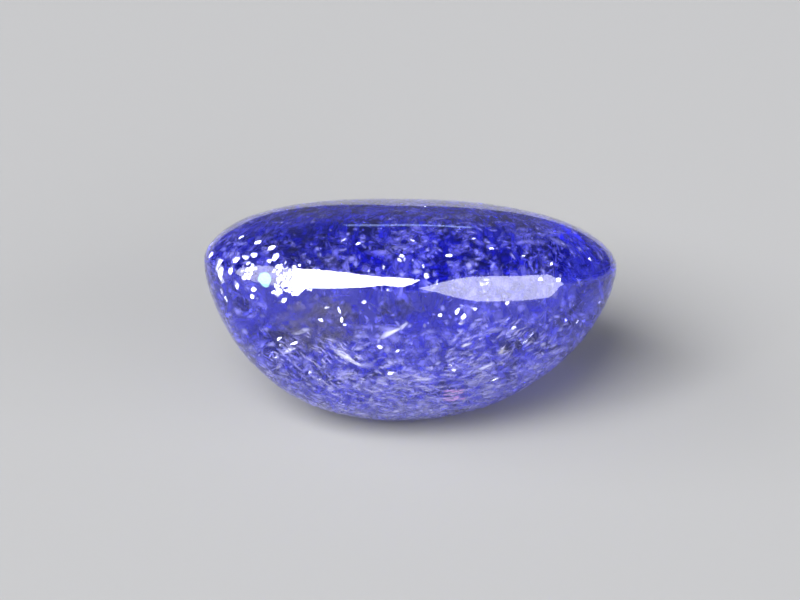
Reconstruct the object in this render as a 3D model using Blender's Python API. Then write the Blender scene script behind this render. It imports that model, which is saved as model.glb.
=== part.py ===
"""Polished tanzanite cabochon, one closed stone.

The stone is a cushion-shaped double cabochon: a low domed crown, a rounded girdle and a deep belly. It
lies on its belly on a small flat spot, leaning back, as it does on a table. Units are metres, the stone's
length runs along X and Z is up.
"""

import math

import bmesh
import bpy
from mathutils import Euler, Matrix, Vector

MM = 0.001

# The stone's size in its own frame, with the girdle in the XY plane.
HALF_LENGTH = 6.48 * MM
HALF_WIDTH = 4.75 * MM
CROWN_HEIGHT = 1.65 * MM
BELLY_DEPTH = 5.06 * MM

# The plan outline is a superellipse, squarer at the blunt left end than at the right tip.
OUTLINE_POWER = 2.16
OUTLINE_POWER_CHANGE = 0.10

# Each dome falls away from its top as (1 - r**flatness)**fullness. The crown is flat on top and rolls over
# a broad shoulder into the girdle, and the belly is close to half an ellipsoid.
CROWN_FLATNESS = 3.2
CROWN_FULLNESS = 0.60
BELLY_FLATNESS = 2.2
BELLY_FULLNESS = 0.62

# The top of the crown and the low point of the belly lie off the middle of the outline.
CROWN_SHIFT = -0.08 * MM
BELLY_SHIFT = -0.37 * MM

# Hand polishing leaves long, shallow waves: the height of each, its wave count and its phase.
WAVES = (
    (0.035 * MM, Vector((2.1, 1.4, 0.9)), 0.6),
    (0.028 * MM, Vector((-1.3, 2.6, 1.9)), 2.1),
    (0.016 * MM, Vector((4.3, -2.2, 2.7)), 4.4),
    (0.010 * MM, Vector((3.4, 5.1, -4.6)), 1.2),
)

# How the stone lies: leaning back from its front, its left end raised, on a spot worn or cut flat.
LEAN_BACK = math.radians(16.0)
LEFT_END_RAISED = math.radians(1.4)
REST_SPOT_DEPTH = 0.15 * MM
CUT_TOLERANCE = 0.00001 * MM

SPHERE_SUBDIVISIONS = 5

COLLECTION_NAME = "polished_tanzanite"
STONE_NAME = "tanzanite"
BLUE_VIOLET = (0.16, 0.15, 0.62, 1.0)
TANZANITE_IOR = 1.69
POLISH_ROUGHNESS = 0.04


def clear_scene():
    """Remove whatever the scene holds."""
    for item in list(bpy.data.objects):
        bpy.data.objects.remove(item, do_unlink=True)


def make_collection(name):
    """Return a new collection in the scene."""
    collection = bpy.data.collections.new(name)
    bpy.context.scene.collection.children.link(collection)
    return collection


def make_gem_material():
    """Return the clear blue-violet material of the stone."""
    material = bpy.data.materials.new("tanzanite_crystal")
    material.use_nodes = True
    shader = material.node_tree.nodes["Principled BSDF"]
    shader.inputs["Base Color"].default_value = BLUE_VIOLET
    shader.inputs["Roughness"].default_value = POLISH_ROUGHNESS
    shader.inputs["Metallic"].default_value = 0.0
    shader.inputs["IOR"].default_value = TANZANITE_IOR
    shader.inputs["Transmission Weight"].default_value = 1.0
    return material


def outline_radius(angle):
    """Return the distance from the middle to the girdle at an angle, with 0 at the right tip."""
    power = OUTLINE_POWER - OUTLINE_POWER_CHANGE * math.cos(angle)
    along = abs(math.cos(angle)) / HALF_LENGTH
    across = abs(math.sin(angle)) / HALF_WIDTH
    return (along**power + across**power) ** (-1.0 / power)


def polish_wave(direction):
    """Return how far the polished surface stands proud in a direction."""
    return sum(height * math.sin(count.dot(direction) + phase) for height, count, phase in WAVES)


def stone_point(direction):
    """Return the stone's surface point for a point of the unit sphere, in the stone's own frame."""
    spread = math.hypot(direction.x, direction.y)
    angle = math.atan2(direction.y, direction.x)
    radius = outline_radius(angle) * spread
    if direction.z >= 0.0:
        rise = max(0.0, 1.0 - spread**CROWN_FLATNESS) ** CROWN_FULLNESS
        height = CROWN_HEIGHT * rise
        shift = CROWN_SHIFT * rise**2
    else:
        rise = max(0.0, 1.0 - spread**BELLY_FLATNESS) ** BELLY_FULLNESS
        height = -BELLY_DEPTH * rise
        shift = BELLY_SHIFT * rise**2
    point = Vector((radius * math.cos(angle) + shift, radius * math.sin(angle), height))
    return point + polish_wave(direction) * direction


def cut_rest_spot(mesh, turn):
    """Cut the stone flat just above its lowest point and return the height of the cut."""
    lowest = min((turn @ vertex.co).z for vertex in mesh.verts)
    cut_height = lowest + REST_SPOT_DEPTH
    down = turn.inverted().to_3x3() @ Vector((0.0, 0.0, -1.0))
    bmesh.ops.bisect_plane(
        mesh,
        geom=mesh.verts[:] + mesh.edges[:] + mesh.faces[:],
        dist=CUT_TOLERANCE,
        plane_co=-cut_height * down,
        plane_no=down,
        clear_outer=True,
    )
    rim = [edge for edge in mesh.edges if edge.is_boundary]
    spot = bmesh.ops.contextual_create(mesh, geom=rim)["faces"]
    for edge in rim:
        edge.smooth = False
    bmesh.ops.recalc_face_normals(mesh, faces=mesh.faces[:])
    for face in mesh.faces:
        face.smooth = face not in spot
    return cut_height


def centre_offset(mesh, turn, cut_height):
    """Return the move that sets the flat spot on the ground with the stone's box centred over the origin."""
    turned = [turn @ vertex.co for vertex in mesh.verts]
    middle_x = (min(p.x for p in turned) + max(p.x for p in turned)) / 2
    middle_y = (min(p.y for p in turned) + max(p.y for p in turned)) / 2
    return Vector((-middle_x, -middle_y, -cut_height))


def make_stone(collection):
    """Build the stone, lay it on its flat spot and return its object."""
    turn = Euler((-LEAN_BACK, LEFT_END_RAISED, 0.0)).to_matrix().to_4x4()
    mesh = bmesh.new()
    bmesh.ops.create_icosphere(mesh, subdivisions=SPHERE_SUBDIVISIONS, radius=1.0)
    for vertex in mesh.verts:
        vertex.co = stone_point(vertex.co.normalized())
    cut_height = cut_rest_spot(mesh, turn)
    offset = centre_offset(mesh, turn, cut_height)
    data = bpy.data.meshes.new(STONE_NAME)
    mesh.to_mesh(data)
    mesh.free()
    data.materials.append(make_gem_material())
    stone = bpy.data.objects.new(STONE_NAME, data)
    stone.matrix_world = Matrix.Translation(offset) @ turn
    collection.objects.link(stone)
    return stone


def main():
    clear_scene()
    make_stone(make_collection(COLLECTION_NAME))


main()
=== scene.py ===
"""Looks of the polished tanzanite: the stone, what grew inside it, the camera, the light and the floor.

Everything is in metres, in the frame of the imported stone, which rests on z = 0 with its length along X. The
stone also has its own frame, with the girdle in the XY plane. TURN and the stone's offset lead from its own
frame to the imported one.
"""

import math

import bmesh
import bpy
import numpy as np
from mathutils import Euler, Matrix, Vector, bvhtree, noise


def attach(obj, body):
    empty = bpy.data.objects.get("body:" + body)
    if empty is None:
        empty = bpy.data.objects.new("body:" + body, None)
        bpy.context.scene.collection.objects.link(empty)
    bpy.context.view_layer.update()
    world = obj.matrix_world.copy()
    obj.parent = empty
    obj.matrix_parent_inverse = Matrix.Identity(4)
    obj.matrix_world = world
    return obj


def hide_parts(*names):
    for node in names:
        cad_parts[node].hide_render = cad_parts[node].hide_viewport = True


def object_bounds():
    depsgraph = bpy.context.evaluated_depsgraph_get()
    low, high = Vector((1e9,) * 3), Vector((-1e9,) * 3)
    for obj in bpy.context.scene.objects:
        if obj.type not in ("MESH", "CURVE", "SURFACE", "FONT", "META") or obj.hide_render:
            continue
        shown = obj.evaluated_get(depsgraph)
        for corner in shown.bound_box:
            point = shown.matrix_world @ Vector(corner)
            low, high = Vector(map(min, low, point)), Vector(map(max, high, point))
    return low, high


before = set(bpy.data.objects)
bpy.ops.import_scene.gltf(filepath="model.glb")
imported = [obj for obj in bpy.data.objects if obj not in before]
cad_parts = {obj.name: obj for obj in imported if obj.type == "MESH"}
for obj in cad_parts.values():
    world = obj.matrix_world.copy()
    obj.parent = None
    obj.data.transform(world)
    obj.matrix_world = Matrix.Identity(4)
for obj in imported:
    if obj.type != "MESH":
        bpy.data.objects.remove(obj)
cad_low, cad_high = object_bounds()

MM = 0.001
SEED = 4783

# The stone's form in its own frame, as the solid has it.
HALF_LENGTH = 6.48 * MM
HALF_WIDTH = 4.75 * MM
CROWN_HEIGHT = 1.65 * MM
BELLY_DEPTH = 5.06 * MM
OUTLINE_POWER = 2.16
OUTLINE_POWER_CHANGE = 0.10
CROWN_FLATNESS = 3.2
CROWN_FULLNESS = 0.60
BELLY_FLATNESS = 2.2
BELLY_FULLNESS = 0.62
CROWN_SHIFT = -0.08 * MM
BELLY_SHIFT = -0.37 * MM
WAVES = (
    (0.035 * MM, (2.1, 1.4, 0.9), 0.6),
    (0.028 * MM, (-1.3, 2.6, 1.9), 2.1),
    (0.016 * MM, (4.3, -2.2, 2.7), 4.4),
    (0.010 * MM, (3.4, 5.1, -4.6), 1.2),
)
REST_SPOT_DEPTH = 0.15 * MM
CUT_TOLERANCE = 1e-8
GRID_CUTS = 119

# How the stone lies: leaning back from its front, with its left end raised.
LEAN_BACK = math.radians(16.0)
LEFT_END_RAISED = math.radians(1.4)
TURN = Euler((-LEAN_BACK, LEFT_END_RAISED, 0.0)).to_matrix()
DOWN_IN_STONE = np.array((0.0, 0.0, -1.0)) @ np.array(TURN)

# The height over which shades and numbers change from the foot of the stone to its top.
STONE_HEIGHT = 7.0 * MM

# Two shallow bevels on the front shoulder. Each runs along X from nothing to its full depth, stays, and
# runs out again, at those four places, with the depth last but one and the tilt up in degrees last.
BEVELS = (
    (-5.6 * MM, -4.4 * MM, -3.6 * MM, -0.3 * MM, 0.058 * MM, 22.0),
    (0.3 * MM, 2.2 * MM, 4.25 * MM, 4.6 * MM, 0.09 * MM, 10.0),
)
# A bevel is measured at this many places round the stone, on rings of the unit sphere: lowest, highest and
# how many. The outline's direction comes from two points this far apart either way, in radians.
BEVEL_PLACES = 721
BEVEL_RINGS = (-0.8, 0.95, 160)
DIRECTION_STEP = 0.002

# Hand polishing also leaves fine waves round the edge and belly: how many, their height, and their
# shortest and longest length. On the crown they set in at a share of the way out, over a further share.
FINE_WAVES = 26
FINE_WAVE_HEIGHT = 0.0022 * MM
FINE_WAVE_LENGTHS = (0.9 * MM, 2.2 * MM)
FINE_WAVE_START = 0.6
FINE_WAVE_RISE = 0.3

# What lies inside keeps under the skin, whose level is 1. Points past the limit are pulled towards the
# middle, step by step. Fractures lie a little more towards the girdle than to the top and bottom.
SKIN_LIMIT = 0.94
PLACED_SKIN_LIMIT = 0.985
PULL_STEP = 0.985
PULL_ROUNDS = 40
LOWEST_POINT = 0.08 * MM
GIRDLE_SPREAD = (1.0, 1.0, 0.9)

# Fractures stray from the skin's own directions by these shares, and come out between these shares of the
# length drawn for them.
LEVEL_STRAY = 0.45
FACING_STRAY = 0.5
LENGTH_SHARES = (0.5, 1.0)
# Each flake has its own shade, from 0 for deep to 1 for pale, and flakes low in the stone are paler, as
# painted light on the lower belly.
PAINTED_LIGHT_AT_FOOT = 0.6
PAINTED_LIGHT_FALL = 0.95

# The camera, and how far right and up of its aim the middle of the stone shows, in millimetres.
CAMERA_ELEVATION = math.radians(28.0)
CAMERA_DISTANCE = 120 * MM
CAMERA_AIM = Vector((-0.332, 0.059, 3.511)) * MM
PICTURE_MIDDLE = (0.285, -0.316)
SENSOR_WIDTH = 36.0
FOCAL_LENGTH = 171.0
NEAREST_SEEN = 0.005
FARTHEST_SEEN = 10.0

# Light panels: name, azimuth and elevation, half spans across and up, all in degrees, radiance and colour.
LIGHT_DISTANCE = 2.4
LIGHT_AIM_HEIGHT = 3.5 * MM
KEY_AZIMUTH = -29.0
KEY_ELEVATION = 44.0
WHITE = (1.0, 1.0, 1.0)
SOFTBOXES = (
    ("key", KEY_AZIMUTH, KEY_ELEVATION, 19.0, 17.0, 22.0, WHITE),
    ("fill", 42.0, 18.0, 37.0, 14.0, 6.6, WHITE),
    ("left_panel", -73.0, 34.0, 24.0, 16.0, 5.2, WHITE),
    ("back_strip", 179.0, 12.5, 4.5, 1.3, 1.5, (0.55, 0.72, 1.0)),
)
FLOOR_SIZE = 6.0
FLOOR_COLOR = (0.215, 0.215, 0.217, 1.0)
FLOOR_ROUGHNESS = 0.9
CARD_DISTANCE = 42 * MM
CARD_HEIGHT = 13 * MM
CARD_HALF_SPAN = math.radians(75.0)
CARD_STEPS = 33
CARD_COLOR = (0.035, 0.035, 0.037, 1.0)

# Colours by height in the world, from the horizon at 0 to straight up at 1.
WORLD_SHADES = (
    (0.0, (0.60, 0.61, 0.63)),
    (0.06, (0.42, 0.43, 0.46)),
    (0.16, (0.09, 0.10, 0.13)),
    (0.5, (0.07, 0.08, 0.11)),
)

# The clear crystal. Scales of textures are in features per metre.
IOR = 1.69
CRYSTAL_TINT = (0.93, 0.93, 1.0, 1.0)
ABSORPTION_COLOR = (0.07, 0.08, 0.90, 1.0)
ABSORPTION_DENSITY = 330.0
POLISHED_ROUGHNESS = 0.025
SCUFFED_ROUGHNESS = 0.28
# The worn place on the left shoulder: where it shows, the distances over which it sets in, its pits and
# scuffs, and the relief's depth and its strength where polished and, on top of that, where worn.
WORN_PLACE = (-4.0, 1.0)
WORN_REACH = (2.1 * MM, 0.9 * MM)
PIT_SCALE = 3800.0
PIT_SHARE = 0.5
SCUFF_SCALE = 2600.0
SCUFF_DETAIL = 4.0
RELIEF_DEPTH = 0.05 * MM
POLISHED_RELIEF = 0.012
WORN_RELIEF = 0.3

# Flakes: how far their own shade and the patches in them move their colour, and the size of the patches.
OWN_SHADE_SHARE = 0.75
PATCH_SHADE_SHARE = 0.25
PATCH_RANGE = (0.35, 0.65)
PATCH_SCALE = 1100.0
PATCH_DETAIL = 3.0

# Healed fractures: their colour and thickness, patches of droplets, and the clear lines between droplets.
VEIL_COLOR = (0.5, 0.5, 0.95, 1.0)
VEIL_ALPHA = 0.4
VEIL_ROUGHNESS = 0.35
VEIL_PATCH_SCALE = 1500.0
VEIL_PATCH_DETAIL = 5.0
VEIL_PATCH_ROUGHNESS = 0.65
VEIL_PATCH_RANGE = (0.45, 0.62)
DROPLET_SCALE = 7000.0
DROPLET_RANGE = (0.04, 0.16)
# Their number, their lengths, widths as shares of the length, and the places of their middles, as shares of
# the way from the middle of the stone to the skin. They lie along a few directions, strayed by some radians.
VEILS = 14
VEIL_LENGTHS = (2.0 * MM, 5.0 * MM)
VEIL_WIDTH_SHARES = (0.4, 0.9)
VEIL_PLACES = (0.1, 0.8)
VEIL_DIRECTIONS = 3
VEIL_STRAY = 0.35
VEIL_CELLS = 26
# The sheets' waves and ragged edges, by the length of the noise and the share it moves them. The waves'
# noise has a roughness, a ratio from one octave to the next, and a number of octaves.
VEIL_WAVE_NOISE = (0.9, 2.0, 3)
VEIL_WAVE_LENGTH = 1.1 * MM
VEIL_WAVE_SHARE = 0.16
VEIL_EDGE_LENGTH = 0.5 * MM
VEIL_EDGE_SHARE = 0.45
VEIL_EDGE = 0.95
NOISE_PHASES = (0, 50)

# Shades of what lies inside, from deep to pale: the place in the ramp and the colour.
HAZES = ((0.0, (0.30, 0.30, 0.95)), (0.5, (0.62, 0.61, 1.0)), (0.95, (0.93, 0.92, 1.0)))
LAVENDERS = ((0.0, (0.12, 0.12, 0.68)), (0.5, (0.44, 0.44, 0.98)), (0.95, (0.90, 0.90, 1.0)))
SOFT_BLUES = ((0.0, (0.18, 0.17, 0.76)), (0.5, (0.50, 0.49, 1.0)), (0.95, (0.80, 0.80, 1.0)))
COLD_WHITES = ((0.0, (0.45, 0.46, 0.95)), (0.5, (0.85, 0.87, 1.0)), (1.0, (1.0, 1.0, 1.0)))
SMOKES = ((0.0, (0.10, 0.09, 0.19)), (1.0, (0.24, 0.22, 0.36)))
REFLECTION_CYANS = ((0.0, (0.42, 0.82, 0.68)), (1.0, (0.48, 0.88, 0.74)))
SHADOWS = ((0.0, (0.008, 0.008, 0.04)), (1.0, (0.03, 0.03, 0.13)))
DEEP_BLUES = ((0.0, (0.04, 0.05, 0.70)), (1.0, (0.09, 0.10, 0.95)))
ROSES = ((0.0, (0.85, 0.40, 0.80)), (1.0, (1.0, 0.66, 0.95)))
STRAWS = ((0.0, (0.46, 0.44, 0.30)), (1.0, (0.62, 0.60, 0.42)))

# Flakes near the skin, as seen from the front: right and up of the stone's middle, length and width, all in
# millimetres, and the angle of the length in degrees.
TIP_FLAKES = (
    (-6.20, 2.12, 0.34, 0.12, 40), (-6.26, 1.74, 0.26, 0.22, 70), (-6.06, 1.46, 0.56, 0.46, 100),
    (-5.98, 1.22, 0.50, 0.44, 80), (-5.92, 0.95, 0.30, 0.24, 60), (-5.92, 0.60, 0.24, 0.13, 80),
    (-5.79, 0.35, 0.22, 0.18, 60), (-5.44, 0.79, 0.30, 0.18, 95), (-5.63, 1.27, 0.34, 0.16, 75),
    (-5.47, 1.58, 0.28, 0.20, 20), (-5.15, 1.66, 0.30, 0.18, 150), (-4.95, 0.42, 0.16, 0.16, 0),
    (-5.30, 2.30, 0.22, 0.12, 30), (-4.75, 2.15, 0.26, 0.15, 10), (-4.91, 1.74, 0.30, 0.20, 160),
    (-4.34, 1.96, 0.30, 0.20, 20), (-4.21, 1.68, 0.28, 0.18, 70), (-4.43, 1.55, 0.22, 0.16, 0),
    (-3.95, 0.30, 0.22, 0.13, 30),
)
TIP_FLAKE_GROWTH = 1.4
FACE_FLAKES = (
    (-2.59, 0.09, 0.20, 0.13, 0), (-2.78, -0.32, 0.26, 0.17, -30), (-2.20, -0.02, 0.34, 0.09, 110),
    (-2.00, -0.10, 0.30, 0.09, 45), (-2.12, -0.30, 0.26, 0.10, 85), (-1.42, 0.25, 0.24, 0.15, 20),
    (-2.03, -0.47, 0.16, 0.11, 0), (0.98, -0.16, 0.22, 0.16, 0), (1.52, -0.05, 0.34, 0.16, 60),
    (1.72, -0.22, 0.36, 0.20, 75), (1.64, -0.42, 0.20, 0.14, 20), (2.09, 0.03, 0.22, 0.17, 0),
    (-0.92, -1.17, 0.30, 0.19, 0), (-0.38, -1.30, 0.20, 0.13, 30), (-0.57, -1.99, 0.34, 0.16, 20),
    (1.30, -1.74, 0.26, 0.11, -30), (1.42, -1.90, 0.26, 0.11, -30), (3.17, -0.70, 0.44, 0.10, 48),
    (3.32, -0.55, 0.24, 0.12, 35), (3.72, -0.96, 0.46, 0.12, 42), (3.86, -0.78, 0.28, 0.14, 40),
    (5.31, -0.37, 0.20, 0.14, 30), (5.73, 1.61, 0.30, 0.16, 10), (1.27, 1.72, 0.30, 0.15, 0),
    (-0.22, 1.71, 0.24, 0.17, -30), (2.00, 1.22, 0.34, 0.14, 30), (4.15, 0.98, 0.24, 0.18, 0),
    (4.72, 0.96, 0.20, 0.16, 0), (0.55, 1.08, 0.30, 0.28, 0), (3.10, 0.22, 0.20, 0.16, 0),
    (-4.22, -1.50, 0.28, 0.14, 20), (-3.62, -1.05, 0.42, 0.10, 25), (-4.10, -0.90, 0.30, 0.10, 40),
    (-3.10, -1.95, 0.30, 0.16, 40), (-2.85, -2.20, 0.30, 0.12, 10), (-1.60, 2.10, 0.24, 0.14, 30),
    (0.10, 2.20, 0.26, 0.10, -30), (2.60, 1.95, 0.26, 0.12, 10), (3.60, 1.70, 0.22, 0.12, 40),
    (4.50, 1.45, 0.22, 0.12, 60), (-0.80, 1.35, 0.26, 0.10, 80), (2.70, -2.20, 0.26, 0.10, 30),
)
FEATHERS = (
    (-0.62, -0.74, 1.00, 0.22, 28), (-0.18, -0.50, 0.55, 0.16, 35), (-2.10, -1.38, 1.00, 0.20, -33),
    (-1.70, -1.68, 0.60, 0.14, -28), (-3.45, -0.70, 0.80, 0.18, 18), (-3.75, -1.25, 0.70, 0.16, 30),
    (1.80, -1.10, 0.60, 0.12, 25), (0.40, -2.20, 0.80, 0.14, 8), (2.40, -1.80, 0.70, 0.14, 20),
)
FEATHER_GROWTH = (1.3, 1.6)
# The round pale cyan disc at the left end is a painted reflection, laid as a flake under the skin.
PAINTED_REFLECTION_DISC = (-4.59, 0.95, 0.56, 0.52, 0.0)
STRAW_FLECK = (2.90, -1.33, 0.55, 0.42, 20.0)
# No bruise comes nearer to the painted reflection disc than this, in millimetres.
REFLECTION_DISC_CLEARANCE = 0.42

# Oval patches strewn with flakes, as seen from the front: right and up of the stone's middle, half width and
# half height, the number of flakes, their lengths and widths, and the angles of their length in degrees.
ANY_ANGLE = (0, 180)
BRUISES = (
    (-4.0, 1.0, 1.3, 0.5, 42, (0.08, 0.24), (0.05, 0.14), ANY_ANGLE),
    (-4.05, 0.93, 1.05, 0.50, 110, (0.10, 0.30), (0.06, 0.16), ANY_ANGLE),
    (-3.9, 0.62, 0.8, 0.16, 44, (0.10, 0.26), (0.06, 0.15), ANY_ANGLE),
    (-4.98, 1.25, 0.30, 0.24, 30, (0.12, 0.30), (0.08, 0.18), ANY_ANGLE),
)
SMOKE = ((-2.9, -0.45, 1.3, 0.85, 210, (0.4, 0.9), (0.25, 0.6), ANY_ANGLE),)
WISPS = ((1.35, -2.7, 0.5, 0.16, 18, (0.3, 0.8), (0.08, 0.16), (-15, 22)),)
# The pale streaks low in the belly also brighten it, as painted light.
STREAKS = (
    (0.3, -2.45, 2.8, 0.75, 230, (0.3, 0.8), (0.07, 0.16), (-22, 22)),
    (-3.0, -1.6, 1.5, 0.9, 130, (0.3, 0.8), (0.07, 0.16), (-65, -15)),
    (2.9, -1.3, 1.8, 1.0, 130, (0.3, 0.8), (0.07, 0.16), (15, 55)),
)
# The near-black flakes at the upper left are painted shade.
PAINTED_SHADE_PATCHES = (
    (-3.7, 2.2, 1.6, 0.42, 100, (0.4, 1.0), (0.15, 0.4), (0, 30)),
    (-3.2, 1.5, 1.3, 0.22, 60, (0.3, 0.8), (0.12, 0.3), (-10, 25)),
    (-0.3, 0.0, 0.8, 0.35, 36, (0.3, 0.7), (0.15, 0.35), ANY_ANGLE),
)
TIP_PATCH = ((5.4, 0.9, 0.8, 0.9, 60, (0.4, 0.9), (0.2, 0.5), ANY_ANGLE),)

# Where the fractures lie thicker (above 1) or thinner (below 1), as seen from the front: right and up of
# the stone's middle, half width and half height, in millimetres, and the change. Spots that thin them at the
# upper left paint shade there, and spots that thicken them low in the belly paint light.
TONE_SPOTS = (
    (-3.0, 2.1, 1.5, 0.7, 0.05), (-1.0, 2.0, 1.0, 0.6, 0.3), (0.2, -0.1, 1.3, 0.5, 0.1),
    (-4.4, 2.0, 1.2, 0.5, 0.1), (-2.4, 1.4, 1.1, 0.35, 0.1), (3.4, 1.5, 1.8, 0.8, 1.7),
    (5.4, 0.1, 0.9, 0.9, 0.15), (-2.9, -0.3, 1.1, 0.8, 0.15), (0.0, -2.7, 3.0, 0.8, 2.2),
    (-2.6, -1.9, 1.2, 0.8, 1.8), (2.6, -1.6, 1.8, 0.9, 1.6),
)
# How far up the picture the stone's middle is, in millimetres, and how thick the fractures lie without the
# spots: at the foot, less towards the top, and thinned at the back of the crown over two distances. Lying
# thicker at the foot also paints light on the lower belly.
TONE_MIDDLE = 3.3
TONE_AT_FOOT = 1.15
TONE_FALL = 0.85
LEAST_TONE = 0.25
BACK_THINNING = 0.85
BACK_FADE = 2.0 * MM
CROWN_FADE = 0.8 * MM
# The haze in the belly, which also paints light on its lower part: its chance at the foot, and how fast it
# falls towards the top.
HAZE_AT_FOOT = 1.35
HAZE_FALL = 2.7
# Clouds are sums of this many waves, whose counts spread round that of the length asked for.
CLOUD_WAVES = 14
CLOUD_WAVE_SPREAD = (0.6, 1.6)


def unit(vectors):
    """Return the vectors at length 1."""
    return vectors / np.linalg.norm(vectors, axis=-1, keepdims=True)


def smooth_step(values):
    """Return values eased from 0 to 1, and held there on either side."""
    ramp = np.clip(values, 0.0, 1.0)
    return ramp * ramp * (3.0 - 2.0 * ramp)


def random_turn(rng):
    """Return a random rotation matrix."""
    w, x, y, z = unit(rng.normal(size=4))
    return np.array([
        [1 - 2 * (y * y + z * z), 2 * (x * y - z * w), 2 * (x * z + y * w)],
        [2 * (x * y + z * w), 1 - 2 * (x * x + z * z), 2 * (y * z - x * w)],
        [2 * (x * z - y * w), 2 * (y * z + x * w), 1 - 2 * (x * x + y * y)],
    ])


def small_turn(rng, most):
    """Return the matrix of a random rotation of up to most radians about each axis."""
    x, y, z = rng.uniform(-most, most, size=3)
    return np.array(Euler((x, y, z)).to_matrix())


def towards(azimuth, elevation):
    """Return a direction from its angles in degrees. Azimuth 0 is the camera side, positive to its right."""
    turn, rise = math.radians(azimuth), math.radians(elevation)
    return Vector((math.sin(turn) * math.cos(rise), -math.cos(turn) * math.cos(rise), math.sin(rise)))


def to_world(points, offset):
    """Return points of the stone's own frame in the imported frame."""
    return points @ np.array(TURN).T + offset


def outline_radius(angle):
    """Return the distance from the middle to the girdle at each angle, with 0 at the right tip."""
    power = OUTLINE_POWER - OUTLINE_POWER_CHANGE * np.cos(angle)
    along = np.abs(np.cos(angle)) / HALF_LENGTH
    across = np.abs(np.sin(angle)) / HALF_WIDTH
    return (along**power + across**power) ** (-1.0 / power)


def polish_wave(directions):
    """Return how far the polished surface stands proud in each direction."""
    total = np.zeros(len(directions))
    for height, count, phase in WAVES:
        total += height * np.sin(directions @ np.array(count) + phase)
    return total


def stone_points(directions):
    """Return the stone's surface points for points of the unit sphere, in the stone's own frame."""
    spread = np.hypot(directions[:, 0], directions[:, 1])
    angle = np.arctan2(directions[:, 1], directions[:, 0])
    radius = outline_radius(angle) * spread
    crown = directions[:, 2] >= 0.0
    crown_rise = np.maximum(0.0, 1.0 - spread**CROWN_FLATNESS) ** CROWN_FULLNESS
    belly_rise = np.maximum(0.0, 1.0 - spread**BELLY_FLATNESS) ** BELLY_FULLNESS
    height = np.where(crown, CROWN_HEIGHT * crown_rise, -BELLY_DEPTH * belly_rise)
    shift = np.where(crown, CROWN_SHIFT * crown_rise**2, BELLY_SHIFT * belly_rise**2)
    points = np.stack([radius * np.cos(angle) + shift, radius * np.sin(angle), height], axis=1)
    return points + polish_wave(directions)[:, None] * directions


def plan_outward(angles):
    """Return the outline's outward direction in plan at each angle."""
    before, after = angles - DIRECTION_STEP, angles + DIRECTION_STEP
    along = outline_radius(after) * np.cos(after) - outline_radius(before) * np.cos(before)
    across = outline_radius(after) * np.sin(after) - outline_radius(before) * np.sin(before)
    length = np.hypot(along, across)
    return np.stack([across / length, -along / length], axis=1)


def bevel(points, directions, start, full, fading, end, deepest, tilt):
    """Cut one strip along the front shoulder that leans in by the same angle all along."""
    angles = np.linspace(-math.pi, math.pi, BEVEL_PLACES)
    outward = plan_outward(angles)
    lean = np.concatenate([outward * math.cos(tilt), np.full((BEVEL_PLACES, 1), math.sin(tilt))], axis=1)
    reach = np.full(BEVEL_PLACES, -1.0)
    for rise in np.linspace(*BEVEL_RINGS):
        level = math.sqrt(1.0 - rise * rise)
        heights = np.full(BEVEL_PLACES, rise)
        ring = np.stack([level * np.cos(angles), level * np.sin(angles), heights], axis=1)
        reach = np.maximum(reach, np.sum(stone_points(ring) * lean, axis=1))
    along = outline_radius(angles) * np.cos(angles)
    share = smooth_step((along - start) / (full - start)) * smooth_step((end - along) / (end - fading))
    limit = reach - np.where(np.sin(angles) < 0.0, deepest * share, 0.0)
    own = np.arctan2(directions[:, 1], directions[:, 0])
    own_lean = np.stack([np.interp(own, angles, lean[:, side]) for side in range(3)], axis=1)
    over = np.maximum(0.0, np.sum(points * own_lean, axis=1) - np.interp(own, angles, limit))
    return points - own_lean * over[:, None]


def fine_waves(points):
    """Return how far the fine polish waves lift the surface at each point. The flat of the crown has none."""
    rng = np.random.default_rng(SEED + 5)
    lift = np.zeros(len(points))
    for _ in range(FINE_WAVES):
        length = rng.uniform(*FINE_WAVE_LENGTHS)
        wave = unit(rng.normal(size=3)) * math.tau / length
        lift += np.sin(points @ wave + rng.uniform(0, math.tau)) * length / FINE_WAVE_LENGTHS[1]
    rim = np.hypot(points[:, 0] / HALF_LENGTH, points[:, 1] / HALF_WIDTH)
    share = np.where(points[:, 2] > 0.0, smooth_step((rim - FINE_WAVE_START) / FINE_WAVE_RISE), 1.0)
    return lift * share * FINE_WAVE_HEIGHT


def sphere_mesh():
    """Return a bmesh of a finely cut cube pushed out to the unit sphere."""
    mesh = bmesh.new()
    bmesh.ops.create_cube(mesh, size=2.0)
    bmesh.ops.subdivide_edges(mesh, edges=mesh.edges[:], cuts=GRID_CUTS, use_grid_fill=True)
    for vertex in mesh.verts:
        evened = Vector([math.tan(c * math.pi / 4) for c in vertex.co])
        vertex.co = evened.normalized()
    return mesh


def cut_rest_spot(mesh):
    """Cut away what lies below the ground, and close the cut with a flat face."""
    bmesh.ops.bisect_plane(
        mesh,
        geom=mesh.verts[:] + mesh.edges[:] + mesh.faces[:],
        dist=CUT_TOLERANCE,
        plane_co=(0, 0, 0),
        plane_no=(0, 0, -1),
        clear_outer=True,
    )
    rim = [edge for edge in mesh.edges if edge.is_boundary]
    bmesh.ops.contextual_create(mesh, geom=rim)
    for edge in rim:
        edge.smooth = False
    bmesh.ops.recalc_face_normals(mesh, faces=mesh.faces[:])


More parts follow.
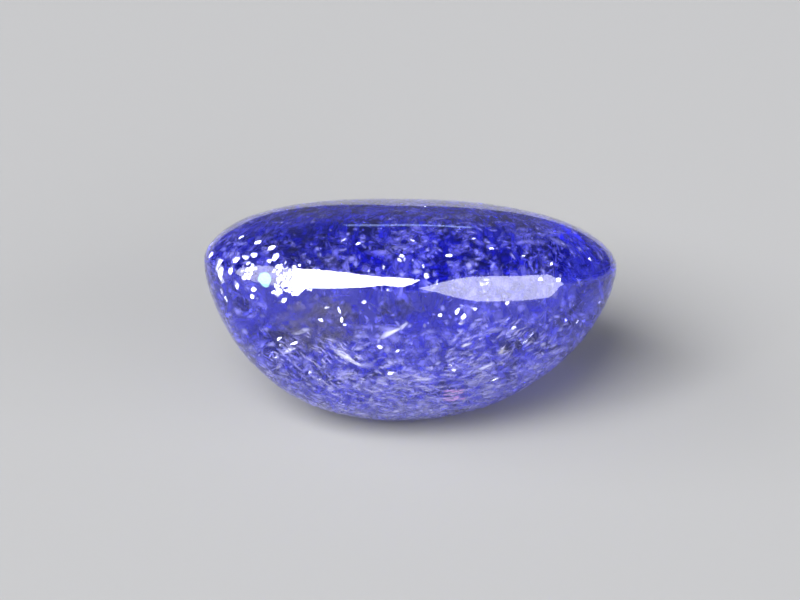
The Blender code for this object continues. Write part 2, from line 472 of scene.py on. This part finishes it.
def make_stone():
    """Build the polished stone where the solid lies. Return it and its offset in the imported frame."""
    mesh = sphere_mesh()
    directions = np.array([v.co for v in mesh.verts])
    points = stone_points(directions)
    for *run, tilt in BEVELS:
        points = bevel(points, directions, *run, math.radians(tilt))
    points = points + unit(points) * fine_waves(points)[:, None]
    points = points @ np.array(TURN).T
    cut = points[:, 2].min() + REST_SPOT_DEPTH
    middle = (points.min(axis=0) + points.max(axis=0)) / 2
    offset = np.array([
        (cad_low.x + cad_high.x) / 2 - middle[0],
        (cad_low.y + cad_high.y) / 2 - middle[1],
        -cut,
    ])
    points += offset
    for vertex, point in zip(mesh.verts, points):
        vertex.co = point
    cut_rest_spot(mesh)
    for face in mesh.faces:
        face.smooth = True
    data = bpy.data.meshes.new("tanzanite_crystal")
    mesh.to_mesh(data)
    mesh.free()
    made = bpy.data.objects.new("tanzanite_crystal", data)
    bpy.context.scene.collection.objects.link(made)
    return made, offset


def feed(tree, node, inputs):
    """Set a node's inputs, by name or number, each to a plain value or linked to another node's output."""
    for name, value in inputs.items():
        if isinstance(value, bpy.types.NodeSocket):
            tree.links.new(value, node.inputs[name])
        else:
            node.inputs[name].default_value = value


def add_node(tree, kind, inputs):
    """Add a node to a tree with its inputs fed."""
    node = tree.nodes.new(kind)
    feed(tree, node, inputs)
    return node


def add_math(tree, operation, *operands):
    """Add a Math node and return its output."""
    node = add_node(tree, "ShaderNodeMath", dict(enumerate(operands)))
    node.operation = operation
    return node.outputs[0]


def add_map_range(tree, value, start=(0.0, 1.0), goal=(0.0, 1.0), interpolation="LINEAR"):
    """Add a node that maps a value from one range to another, held at its ends, and return its output."""
    node = add_node(tree, "ShaderNodeMapRange", {
        "Value": value, "From Min": start[0], "From Max": start[1], "To Min": goal[0], "To Max": goal[1],
    })
    node.interpolation_type = interpolation
    return node.outputs["Result"]


def add_noise(tree, place, scale, detail, roughness=0.5):
    """Add a Noise Texture and return its value."""
    inputs = {"Vector": place, "Scale": scale, "Detail": detail, "Roughness": roughness}
    return add_node(tree, "ShaderNodeTexNoise", inputs).outputs["Fac"]


def add_ramp(tree, value, shades):
    """Add a colour ramp through the given shades and return its colour."""
    node = add_node(tree, "ShaderNodeValToRGB", {"Fac": value})
    stops = node.color_ramp.elements
    while len(stops) < len(shades):
        stops.new(0.5)
    for stop, (position, color) in zip(stops, shades):
        stop.position = position
        stop.color = (*color, 1.0)
    return node.outputs["Color"]


def new_material(name):
    """Return a new material, its node tree and its shader."""
    material = bpy.data.materials.new(name)
    material.use_nodes = True
    return material, material.node_tree, material.node_tree.nodes["Principled BSDF"]


def object_place(tree):
    """Add a node that tells the place on the object, and return its output."""
    return tree.nodes.new("ShaderNodeTexCoord").outputs["Object"]


def plain_material(name, color, roughness):
    """Return a material of one colour, for the stage."""
    material, tree, shader = new_material(name)
    feed(tree, shader, {"Base Color": color, "Roughness": roughness})
    return material


def stone_material(worn_spot):
    """Clear blue-violet crystal with a fine hand polish, scuffed and pitted round one spot on the left."""
    material, tree, shader = new_material("tanzanite_crystal")
    place = object_place(tree)
    distance = add_node(tree, "ShaderNodeVectorMath", {0: place, 1: worn_spot})
    distance.operation = "DISTANCE"
    worn = add_map_range(tree, distance.outputs["Value"], start=WORN_REACH, interpolation="SMOOTHSTEP")
    pits = add_node(tree, "ShaderNodeTexVoronoi", {"Vector": place, "Scale": PIT_SCALE}).outputs["Distance"]
    scuffs = add_noise(tree, place, SCUFF_SCALE, SCUFF_DETAIL)
    bump = add_node(tree, "ShaderNodeBump", {
        "Distance": RELIEF_DEPTH,
        "Height": add_math(tree, "MULTIPLY_ADD", pits, PIT_SHARE, scuffs),
        "Strength": add_math(tree, "MULTIPLY_ADD", worn, WORN_RELIEF, POLISHED_RELIEF),
    })
    haze = add_math(tree, "MULTIPLY", worn, scuffs)
    feed(tree, shader, {
        "Base Color": CRYSTAL_TINT,
        "IOR": IOR,
        "Transmission Weight": 1.0,
        "Normal": bump.outputs["Normal"],
        "Roughness": add_map_range(tree, haze, goal=(POLISHED_ROUGHNESS, SCUFFED_ROUGHNESS)),
    })
    absorb = add_node(tree, "ShaderNodeVolumeAbsorption", {
        "Color": ABSORPTION_COLOR, "Density": ABSORPTION_DENSITY,
    })
    feed(tree, tree.nodes["Material Output"], {"Volume": absorb.outputs["Volume"]})
    return material


def shard_material(name, shades, roughness, alpha=1.0, metallic=0.0, fade=0.4):
    """Bits of fracture: each has its own shade from deep to pale, patchy, and thins out towards its rim."""
    material, tree, shader = new_material(name)
    own = tree.nodes.new("ShaderNodeAttribute")
    own.attribute_name = "shade"
    core = tree.nodes.new("ShaderNodeAttribute")
    core.attribute_name = "core"
    patches = add_noise(tree, object_place(tree), PATCH_SCALE, PATCH_DETAIL)
    patch_share = add_map_range(tree, patches, start=PATCH_RANGE, goal=(0.0, PATCH_SHADE_SHARE))
    shade = add_math(tree, "MULTIPLY_ADD", own.outputs["Fac"], OWN_SHADE_SHARE, patch_share)
    feed(tree, shader, {
        "Base Color": add_ramp(tree, shade, shades),
        "Roughness": roughness,
        "Metallic": metallic,
        "Alpha": add_map_range(tree, core.outputs["Fac"], start=(0.0, fade), goal=(0.0, alpha)),
    })
    return material


def veil_material():
    """A healed fracture: droplets parted by clear lines, thick in some patches and gone in others."""
    material, tree, shader = new_material("veil")
    place = object_place(tree)
    patches = add_noise(tree, place, VEIL_PATCH_SCALE, VEIL_PATCH_DETAIL, VEIL_PATCH_ROUGHNESS)
    droplets = add_node(tree, "ShaderNodeTexVoronoi", {"Vector": place, "Scale": DROPLET_SCALE})
    droplets.feature = "DISTANCE_TO_EDGE"
    in_patch = add_map_range(tree, patches, start=VEIL_PATCH_RANGE)
    in_droplet = add_map_range(tree, droplets.outputs["Distance"], start=DROPLET_RANGE)
    thickness = add_math(tree, "MULTIPLY", in_patch, in_droplet)
    feed(tree, shader, {
        "Base Color": VEIL_COLOR,
        "Roughness": VEIL_ROUGHNESS,
        "Alpha": add_math(tree, "MULTIPLY", thickness, VEIL_ALPHA),
    })
    return material


def points_within(count, rng, least, most):
    """Return stone-frame points at random, between two shares of the way from the middle to the surface."""
    directions = rng.normal(size=(count, 3)) * GIRDLE_SPREAD
    directions /= np.linalg.norm(directions, axis=1, keepdims=True)
    share = rng.uniform(least**3, most**3, size=(count, 1)) ** (1 / 3)
    return stone_points(directions) * share


def keep_inside(points, most=SKIN_LIMIT):
    """Pull points that lie outside the stone, or too near its surface, towards the middle."""
    for _ in range(PULL_ROUNDS):
        crown = points[:, 2] >= 0.0
        rise = np.abs(points[:, 2]) / np.where(crown, CROWN_HEIGHT, BELLY_DEPTH)
        along = points[:, 0] - np.where(crown, CROWN_SHIFT, BELLY_SHIFT) * rise**2
        spread = np.hypot(along, points[:, 1]) / outline_radius(np.arctan2(points[:, 1], along))
        crown_level = spread**CROWN_FLATNESS + rise ** (1 / CROWN_FULLNESS)
        belly_level = spread**BELLY_FLATNESS + rise ** (1 / BELLY_FULLNESS)
        outside = np.where(crown, crown_level, belly_level) > most
        if not outside.any():
            break
        points = np.where(outside[:, None], points * PULL_STEP, points)
    return points


def cloudiness(points, rng, length):
    """Return a smooth random value near 0, mostly between -1 and 1, that changes over the length given."""
    value = np.zeros(len(points))
    for _ in range(CLOUD_WAVES):
        wave = unit(rng.normal(size=3)) * rng.uniform(*CLOUD_WAVE_SPREAD) * math.tau / length
        value += np.sin(points @ wave + rng.uniform(0, math.tau))
    return value / math.sqrt(CLOUD_WAVES / 2)


def clouds(points, seed, length, middle, swing, least):
    """Return a chance for each point that rises and falls round a middle value in clouds of some length."""
    cloud = middle + swing * cloudiness(points, np.random.default_rng(SEED + seed), length)
    return np.clip(cloud, least, 1.0)


def tone(points):
    """Return how thick the fractures lie: thickest low in the belly, partly as painted light, and thin at the
    back of the crown. Spots thin them at the upper left, as painted shade.
    """
    world = to_world(points, stone_offset)
    sine, cosine = math.sin(CAMERA_ELEVATION), math.cos(CAMERA_ELEVATION)
    right = world[:, 0] / MM
    up = (world[:, 2] * cosine + world[:, 1] * sine) / MM - TONE_MIDDLE
    front = np.clip((world[:, 2] * sine - world[:, 1] * cosine) / MM, 0.0, 1.0)
    behind = smooth_step(points[:, 1] / BACK_FADE) * smooth_step(points[:, 2] / CROWN_FADE + 1.0)
    value = np.clip(TONE_AT_FOOT - TONE_FALL * world[:, 2] / STONE_HEIGHT, LEAST_TONE, 1.0)
    value = value * (1.0 - BACK_THINNING * behind)
    for spot_right, spot_up, half_width, half_height, change in TONE_SPOTS:
        near = np.exp(-(((right - spot_right) / half_width) ** 2) - ((up - spot_up) / half_height) ** 2)
        value = value * (1.0 + (change - 1.0) * near * front)
    return value


def in_fine_clouds(points):
    """Return a chance that follows the tone, broken up finely."""
    return clouds(points, seed=1, length=1.5 * MM, middle=0.6, swing=0.5, least=0.12) * tone(points)


def in_clouds(points):
    """Return a chance that follows the tone, broken up into larger clouds."""
    return clouds(points, seed=2, length=2.2 * MM, middle=0.5, swing=0.5, least=0.05) * tone(points)


def low_down(points):
    """Return a chance that is highest at the bottom of the belly and falls to nothing at half height."""
    height = to_world(points, stone_offset)[:, 2] / STONE_HEIGHT
    cloud = clouds(points, seed=4, length=1.3 * MM, middle=0.7, swing=0.4, least=0.1)
    return np.clip(HAZE_AT_FOOT - HAZE_FALL * height, 0.0, 1.0) * cloud


def anywhere(points):
    """Return a chance that is cloudy, but alike all through the stone."""
    return clouds(points, seed=3, length=1.8 * MM, middle=0.6, swing=0.4, least=0.1)


def mesh_object(name, points, faces):
    """Return a new object from points of the stone's own frame, none of them below the lowest level."""
    world = to_world(points, stone_offset)
    world[:, 2] = np.maximum(world[:, 2], LOWEST_POINT)
    data = bpy.data.meshes.new(name)
    data.from_pydata(world.tolist(), [], faces)
    data.update()
    for polygon in data.polygons:
        polygon.use_smooth = True
    made = bpy.data.objects.new(name, data)
    bpy.context.scene.collection.objects.link(made)
    return made


def store_values(piece, name, values):
    """Store one number for each vertex of a piece, for its material to read."""
    piece.data.attributes.new(name, "FLOAT", "POINT").data.foreach_set("value", values)


def shards(
    name, centres, long_axes, flat_axes, lengths, widths, rng, sides=6, bend=0.25, most=SKIN_LIMIT, ragged=0.5
):
    """Thin bent flakes, long along one axis and facing along another, in one mesh.

    Each is a fan round its centre. Ragged is the share by which its rim falls short at most.
    """
    count = len(centres)
    long_axes = unit(long_axes)
    wide_axes = unit(np.cross(flat_axes, long_axes))
    flat_axes = np.cross(long_axes, wide_axes)
    angles = np.arange(sides) * math.tau / sides + rng.uniform(0, math.tau, size=(count, 1))
    reach = rng.uniform(1.0 - ragged, 1.0, size=(count, sides))
    along = np.cos(angles) * reach * lengths[:, None] / 2
    across = np.sin(angles) * reach * widths[:, None] / 2
    lift = rng.uniform(-bend, bend, size=(count, 1)) * lengths[:, None] * (np.cos(angles) * reach) ** 2
    rim = (
        centres[:, None, :]
        + along[..., None] * long_axes[:, None, :]
        + across[..., None] * wide_axes[:, None, :]
        + lift[..., None] * flat_axes[:, None, :]
    )
    verts = np.concatenate([centres[:, None, :], rim], axis=1).reshape(-1, 3)
    first = np.arange(count)[:, None] * (sides + 1)
    side = np.arange(sides)[None, :]
    faces = np.stack([first + 0 * side, first + 1 + side, first + 1 + (side + 1) % sides], axis=2)
    made = mesh_object(name, keep_inside(verts, most), faces.reshape(-1, 3).tolist())
    store_values(made, "core", np.tile([1.0] + [0.0] * sides, count))
    # Flakes low in the stone get paler shades: painted light on the lower belly.
    height = to_world(centres, stone_offset)[:, 2] / STONE_HEIGHT
    shade = rng.random(count) + PAINTED_LIGHT_AT_FOOT - PAINTED_LIGHT_FALL * height
    store_values(made, "shade", np.repeat(shade, sides + 1))
    return made


def crackle(name, count, lengths, widths, between, rng, thinning, along_skin=0.6, lift=0.0):
    """Fine broken-up fractures between two shares of the way from the stone's middle to its skin.

    Thinning gives the chance that one stays. The share along_skin of them run level and along the skin, and
    lift tips those to face upward.
    """
    centres = points_within(count, rng, *between)
    centres = centres[rng.random(len(centres)) < thinning(centres)]
    count = len(centres)
    outward = unit(centres)
    level = unit(np.cross(outward, DOWN_IN_STONE))
    drift = rng.normal(size=(count, 3))
    skin_like = rng.random((count, 1)) < along_skin
    long_axes = np.where(skin_like, level + LEVEL_STRAY * drift, drift)
    facing = outward - lift * DOWN_IN_STONE
    stray = rng.normal(size=(count, 3))
    flat_axes = np.where(skin_like, facing + FACING_STRAY * stray, rng.normal(size=(count, 3)))
    size = rng.uniform(*lengths, size=count) * rng.uniform(*LENGTH_SHARES, size=count)
    return shards(name, centres, long_axes, flat_axes, size, rng.uniform(*widths, size=count), rng)


def veil_sheet(rng, families):
    """Return the points of one wavy fracture sheet, and which of them lie within its ragged edge."""
    centre = points_within(1, rng, *VEIL_PLACES)[0]
    size = rng.uniform(*VEIL_LENGTHS)
    width = size * rng.uniform(*VEIL_WIDTH_SHARES)
    turn = families[rng.integers(VEIL_DIRECTIONS)] @ small_turn(rng, VEIL_STRAY)
    phase = Vector(rng.uniform(*NOISE_PHASES, size=3))
    steps = np.linspace(-0.5, 0.5, VEIL_CELLS + 1)
    u, v = np.meshgrid(steps, steps, indexing="ij")
    flat = np.stack([u.ravel() * size, v.ravel() * width], axis=1)
    lift = np.array([
        noise.fractal(Vector((x, y, 0.0)) / VEIL_WAVE_LENGTH + phase, *VEIL_WAVE_NOISE) for x, y in flat
    ])
    local = np.concatenate([flat, (lift * VEIL_WAVE_SHARE * size)[:, None]], axis=1)
    points = centre + local @ turn.T
    ragged = np.array([noise.noise(Vector((x, y, 3.0)) / VEIL_EDGE_LENGTH + phase) for x, y in flat])
    kept = np.hypot(u.ravel(), v.ravel()) * 2 + ragged * VEIL_EDGE_SHARE < VEIL_EDGE
    kept &= np.all(keep_inside(points) == points, axis=1)
    return points, kept


def veil_mesh(name, rng):
    """Large wavy fracture sheets with ragged edges, in one mesh."""
    verts, faces = [], []
    families = [random_turn(rng) for _ in range(VEIL_DIRECTIONS)]
    row = VEIL_CELLS + 1
    for _ in range(VEILS):
        points, kept = veil_sheet(rng, families)
        first = len(verts)
        verts.extend(points)
        for i in range(VEIL_CELLS):
            for j in range(VEIL_CELLS):
                corner = i * row + j
                corners = [corner, corner + row, corner + row + 1, corner + 1]
                if all(kept[c] for c in corners):
                    faces.append([first + c for c in corners])
    used = sorted({c for face in faces for c in face})
    new_index = {old: new for new, old in enumerate(used)}
    points = np.array(verts)[used]
    return mesh_object(name, points, [[new_index[c] for c in face] for face in faces])


def inside_stone(outside, normal):
    """Return the way a direction outside the stone runs inside it, under skin that faces along normal."""
    slant = outside.dot(normal)
    level = (outside - normal * slant) / IOR
    return level + normal * math.sqrt(max(0.0, 1.0 - level.length_squared))


def seen_from_front(right, up, depth):
    """Return the world point under the skin that shows at a place in the camera's picture.

    Right and up are in millimetres from the middle of the stone as the camera sees it, and depth is along
    the refracted line of sight. With the point comes the direction that mirrors the key light to the camera.
    """
    back = Vector((0.0, -math.cos(CAMERA_ELEVATION), math.sin(CAMERA_ELEVATION)))
    along = Vector((1.0, 0.0, 0.0))
    upward = back.cross(along)
    eye = CAMERA_AIM + back * CAMERA_DISTANCE
    target = CAMERA_AIM + along * (right + PICTURE_MIDDLE[0]) * MM + upward * (up + PICTURE_MIDDLE[1]) * MM
    sight = (target - eye).normalized()
    hit, normal, _, _ = skin.ray_cast(eye, sight)
    if hit is None:
        return None, None
    to_eye = inside_stone(-sight, normal)
    glance = (to_eye + inside_stone(towards(KEY_AZIMUTH, KEY_ELEVATION), normal)).normalized()
    return hit - to_eye * depth * MM, glance


def placed_shards(name, places, rng, depth=0.12, sides=9, bend=0.06, jitter=0.08, ragged=0.5):
    """Flakes laid where the camera sees them: right, up, length and width in mm, angle in degrees."""
    turn_back = np.array(TURN)
    upward = Vector((0.0, math.sin(CAMERA_ELEVATION), math.cos(CAMERA_ELEVATION)))
    centres, long_axes, flat_axes, lengths, widths = [], [], [], [], []
    for right, up, length, width, angle in places:
        spot, glance = seen_from_front(right, up, depth)
        if spot is None:
            continue
        tilt = math.radians(angle)
        line = Vector((math.cos(tilt), 0.0, 0.0)) + upward * math.sin(tilt)
        centres.append((np.array(spot) - stone_offset) @ turn_back)
        long_axes.append(np.array(line) @ turn_back)
        flat_axes.append(np.array(glance) @ turn_back)
        lengths.append(length * MM)
        widths.append(width * MM)
    centres = np.array(centres)
    facing = np.array(flat_axes) + jitter * rng.normal(size=centres.shape)
    level = np.array(long_axes)
    level = level - facing * np.sum(level * unit(facing), axis=1, keepdims=True)
    return shards(
        name, centres, level, facing, np.array(lengths), np.array(widths), rng,
        sides=sides, bend=bend, most=PLACED_SKIN_LIMIT, ragged=ragged,
    )


def strewn(patches, rng):
    """Return flakes strewn over oval patches of the camera's picture."""
    flakes = []
    for right, up, half_width, half_height, count, lengths, widths, angles in patches:
        for _ in range(count):
            turn, share = rng.uniform(0, math.tau), math.sqrt(rng.random())
            spot = (right + half_width * share * math.cos(turn), up + half_height * share * math.sin(turn))
            flakes.append((*spot, rng.uniform(*lengths), rng.uniform(*widths), rng.uniform(*angles)))
    return flakes


def grown(flakes, longer, wider):
    """Return flakes made longer and wider."""
    return [(right, up, longer * length, wider * width, angle) for right, up, length, width, angle in flakes]


def clear_of_reflection_disc(flake):
    """Say whether a flake keeps clear of the painted reflection disc."""
    return math.hypot(flake[0] - PAINTED_REFLECTION_DISC[0], flake[1] - PAINTED_REFLECTION_DISC[1]) > REFLECTION_DISC_CLEARANCE


def add_piece(piece, material):
    """Give a piece its material, and let it ride with the stone."""
    piece.data.materials.append(material)
    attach(piece, "root")


def add_fractures(rng):
    """Fill the stone with broken-up fractures, cloudy shards, haze in the belly, mirror cracks and glints."""
    add_piece(
        crackle(
            "crackle", 10000, (0.30 * MM, 0.80 * MM), (0.14 * MM, 0.36 * MM), (0.6, 0.955), rng,
            in_fine_clouds,
        ),
        shard_material("crackle", LAVENDERS, 0.45, alpha=0.9, fade=0.85),
    )
    add_piece(
        crackle(
            "cloud_shards", 6000, (0.6 * MM, 1.4 * MM), (0.25 * MM, 0.65 * MM), (0.5, 0.93), rng,
            in_clouds,
        ),
        shard_material("cloud_shard", SOFT_BLUES, 0.5, alpha=0.75, fade=1.0),
    )
    add_piece(
        crackle(
            "belly_haze", 7000, (0.45 * MM, 1.1 * MM), (0.16 * MM, 0.36 * MM), (0.86, 0.955), rng,
            low_down, along_skin=0.8, lift=1.0,
        ),
        shard_material("belly_haze", HAZES, 0.5, alpha=0.85, fade=0.8),
    )
    add_piece(
        crackle(
            "mirror_cracks", 3200, (0.14 * MM, 0.55 * MM), (0.07 * MM, 0.2 * MM), (0.6, 0.95), rng,
            anywhere, along_skin=0.3,
        ),
        shard_material("mirror_crack", COLD_WHITES, 0.18, alpha=0.9, metallic=1.0, fade=0.5),
    )
    add_piece(
        crackle(
            "glints", 700, (0.08 * MM, 0.24 * MM), (0.05 * MM, 0.13 * MM), (0.88, 0.96), rng,
            anywhere, along_skin=0.5,
        ),
        shard_material("glint", COLD_WHITES, 0.3, metallic=1.0, fade=0.35),
    )


def add_bright_flakes(rng):
    """Add the bright flakes of the left tip and the face, and the whitish bruises of the left shoulder."""
    bruises = [bruise for bruise in strewn(BRUISES, rng) if clear_of_reflection_disc(bruise)]
    tip_flakes = grown(TIP_FLAKES, TIP_FLAKE_GROWTH, TIP_FLAKE_GROWTH)
    add_piece(
        placed_shards("bright_flakes", tip_flakes + list(FACE_FLAKES) + bruises, rng),
        shard_material("flake", COLD_WHITES, 0.25, metallic=1.0, fade=0.4),
    )


def add_feathers(rng):
    """Add the long silvery feathers of the face and belly."""
    add_piece(
        placed_shards("feathers", grown(FEATHERS, *FEATHER_GROWTH), rng, depth=0.25, bend=0.10, jitter=0.12),
        shard_material("feather", COLD_WHITES, 0.45, alpha=0.9, metallic=0.6, fade=0.7),
    )


def add_painted_reflection_disc(rng):
    """Add the round pale cyan disc at the left end, a painted reflection laid as a flake under the skin."""
    add_piece(
        placed_shards(
            "painted_reflection_disc", [PAINTED_REFLECTION_DISC], rng, depth=0.03, sides=18, bend=0.0, jitter=0.0, ragged=0.08
        ),
        shard_material("painted_reflection_disc", REFLECTION_CYANS, 0.6, fade=0.12),
    )


def add_smoky_cloud(rng):
    """Add the grey smoky patch left of the middle."""
    add_piece(
        placed_shards("smoky_cloud", strewn(SMOKE, rng), rng, depth=0.25, jitter=0.5),
        shard_material("smoke", SMOKES, 0.5, alpha=0.4, fade=1.0),
    )


def add_rose_wisps(rng):
    """Add the few rose wisps low in the belly."""
    add_piece(
        placed_shards("rose_wisps", strewn(WISPS, rng), rng, jitter=0.15),
        shard_material("rose_wisp", ROSES, 0.5, alpha=0.9, metallic=0.5, fade=0.8),
    )


def add_straw_fleck(rng):
    """Add the straw-coloured fleck on the right."""
    add_piece(
        placed_shards("straw_fleck", [STRAW_FLECK], rng, depth=0.1, sides=10, bend=0.0),
        shard_material("straw_fleck", STRAWS, 0.6, alpha=0.75, fade=0.9),
    )


def add_belly_streaks(rng):
    """Add the pale level streaks low in the belly, which also brighten it as painted light."""
    add_piece(
        placed_shards("belly_streaks", strewn(STREAKS, rng), rng, depth=0.2, bend=0.12, jitter=0.2),
        shard_material("belly_streak", HAZES, 0.5, alpha=0.55, metallic=0.5, fade=0.9),
    )


def add_shadow_cloud(rng):
    """Add near-black flakes: painted shade at the upper left, and a dark place in the middle."""
    add_piece(
        placed_shards("shadow_cloud", strewn(PAINTED_SHADE_PATCHES, rng), rng, depth=0.35, jitter=0.5),
        shard_material("shadow", SHADOWS, 0.5, alpha=0.5, fade=1.0),
    )


def add_tip_cloud(rng):
    """Add the deep-blue cloud at the right tip."""
    add_piece(
        placed_shards("tip_cloud", strewn(TIP_PATCH, rng), rng, depth=0.3, jitter=0.4),
        shard_material("tip_cloud", DEEP_BLUES, 0.5, alpha=0.4, fade=1.0),
    )


def make_camera():
    """Set the camera before the stone, looking a little down on it, and make it the scene's."""
    back = Vector((0.0, -math.cos(CAMERA_ELEVATION), math.sin(CAMERA_ELEVATION)))
    data = bpy.data.cameras.new("camera")
    data.sensor_width = SENSOR_WIDTH
    data.lens = FOCAL_LENGTH
    data.clip_start = NEAREST_SEEN
    data.clip_end = FARTHEST_SEEN
    camera = bpy.data.objects.new("camera", data)
    camera.location = CAMERA_AIM + back * CAMERA_DISTANCE
    camera.rotation_mode = "QUATERNION"
    camera.rotation_quaternion = (-back).to_track_quat("-Z", "Y")
    bpy.context.scene.collection.objects.link(camera)
    bpy.context.scene.camera = camera


def make_softbox(name, azimuth, elevation, half_across, half_up, radiance, color):
    """Light the stone from one side with a panel that spans the given half angles, in degrees."""
    back = towards(azimuth, elevation)
    data = bpy.data.lights.new(name, "AREA")
    data.shape = "RECTANGLE"
    data.size = 2.0 * LIGHT_DISTANCE * math.tan(math.radians(half_across))
    data.size_y = 2.0 * LIGHT_DISTANCE * math.tan(math.radians(half_up))
    data.energy = radiance * math.pi * data.size * data.size_y
    data.color = color
    light = bpy.data.objects.new(name, data)
    light.location = Vector((0, 0, LIGHT_AIM_HEIGHT)) + back * LIGHT_DISTANCE
    light.rotation_mode = "QUATERNION"
    light.rotation_quaternion = (-back).to_track_quat("-Z", "Y")
    bpy.context.scene.collection.objects.link(light)


def make_floor():
    """Lay the plain pale floor."""
    bpy.ops.mesh.primitive_plane_add(size=FLOOR_SIZE)
    floor = bpy.context.object
    floor.name = "floor"
    floor.data.materials.append(plain_material("floor", FLOOR_COLOR, FLOOR_ROUGHNESS))


def make_dark_card():
    """Stand a low dark card round the back of the stone, seen in its reflections alone.

    It keeps the pale floor out of the crown's glancing reflection.
    """
    angles = np.linspace(-CARD_HALF_SPAN, CARD_HALF_SPAN, CARD_STEPS)
    foot = [(CARD_DISTANCE * math.sin(angle), CARD_DISTANCE * math.cos(angle), 0.0) for angle in angles]
    top = [(x, y, CARD_HEIGHT) for x, y, _ in foot]
    faces = [(i, i + 1, CARD_STEPS + i + 1, CARD_STEPS + i) for i in range(CARD_STEPS - 1)]
    data = bpy.data.meshes.new("dark_card")
    data.from_pydata(foot + top, [], faces)
    data.materials.append(plain_material("dark_card", CARD_COLOR, 1.0))
    card = bpy.data.objects.new("dark_card", data)
    card.visible_camera = False
    card.visible_diffuse = False
    card.visible_transmission = False
    card.visible_volume_scatter = False
    card.visible_shadow = False
    bpy.context.scene.collection.objects.link(card)


def make_world():
    """Pale near the horizon, so the floor runs into it, and darker overhead."""
    world = bpy.data.worlds.new("studio")
    world.use_nodes = True
    bpy.context.scene.world = world
    tree = world.node_tree
    place = tree.nodes.new("ShaderNodeTexCoord").outputs["Generated"]
    split = add_node(tree, "ShaderNodeSeparateXYZ", {"Vector": place})
    sky = add_ramp(tree, split.outputs["Z"], WORLD_SHADES)
    feed(tree, tree.nodes["Background"], {"Color": sky, "Strength": 1.0})


def set_render_limits():
    """Show colours as they are, and follow light far enough through the stone, but no farther."""
    scene = bpy.context.scene
    scene.view_settings.view_transform = "Standard"
    scene.cycles.max_bounces = 12
    scene.cycles.diffuse_bounces = 4
    scene.cycles.glossy_bounces = 5
    scene.cycles.transmission_bounces = 12
    scene.cycles.transparent_max_bounces = 18
    scene.cycles.use_denoising = True


make_camera()
make_world()
make_floor()
make_dark_card()
for softbox in SOFTBOXES:
    make_softbox(*softbox)

# The stone comes first, because its offset and its skin place what lies inside.
stone, stone_offset = make_stone()
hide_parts("tanzanite")
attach(stone, "root")
skin = bvhtree.BVHTree.FromPolygons(
    [vertex.co for vertex in stone.data.vertices], [polygon.vertices[:] for polygon in stone.data.polygons]
)
stone.data.materials.append(stone_material(seen_from_front(*WORN_PLACE, 0.0)[0]))

rng = np.random.default_rng(SEED)
add_fractures(rng)
add_bright_flakes(rng)
add_feathers(rng)
add_painted_reflection_disc(rng)
add_smoky_cloud(rng)
add_rose_wisps(rng)
add_straw_fleck(rng)
add_piece(veil_mesh("veils", rng), veil_material())
add_belly_streaks(rng)
add_shadow_cloud(rng)
add_tip_cloud(rng)
set_render_limits()
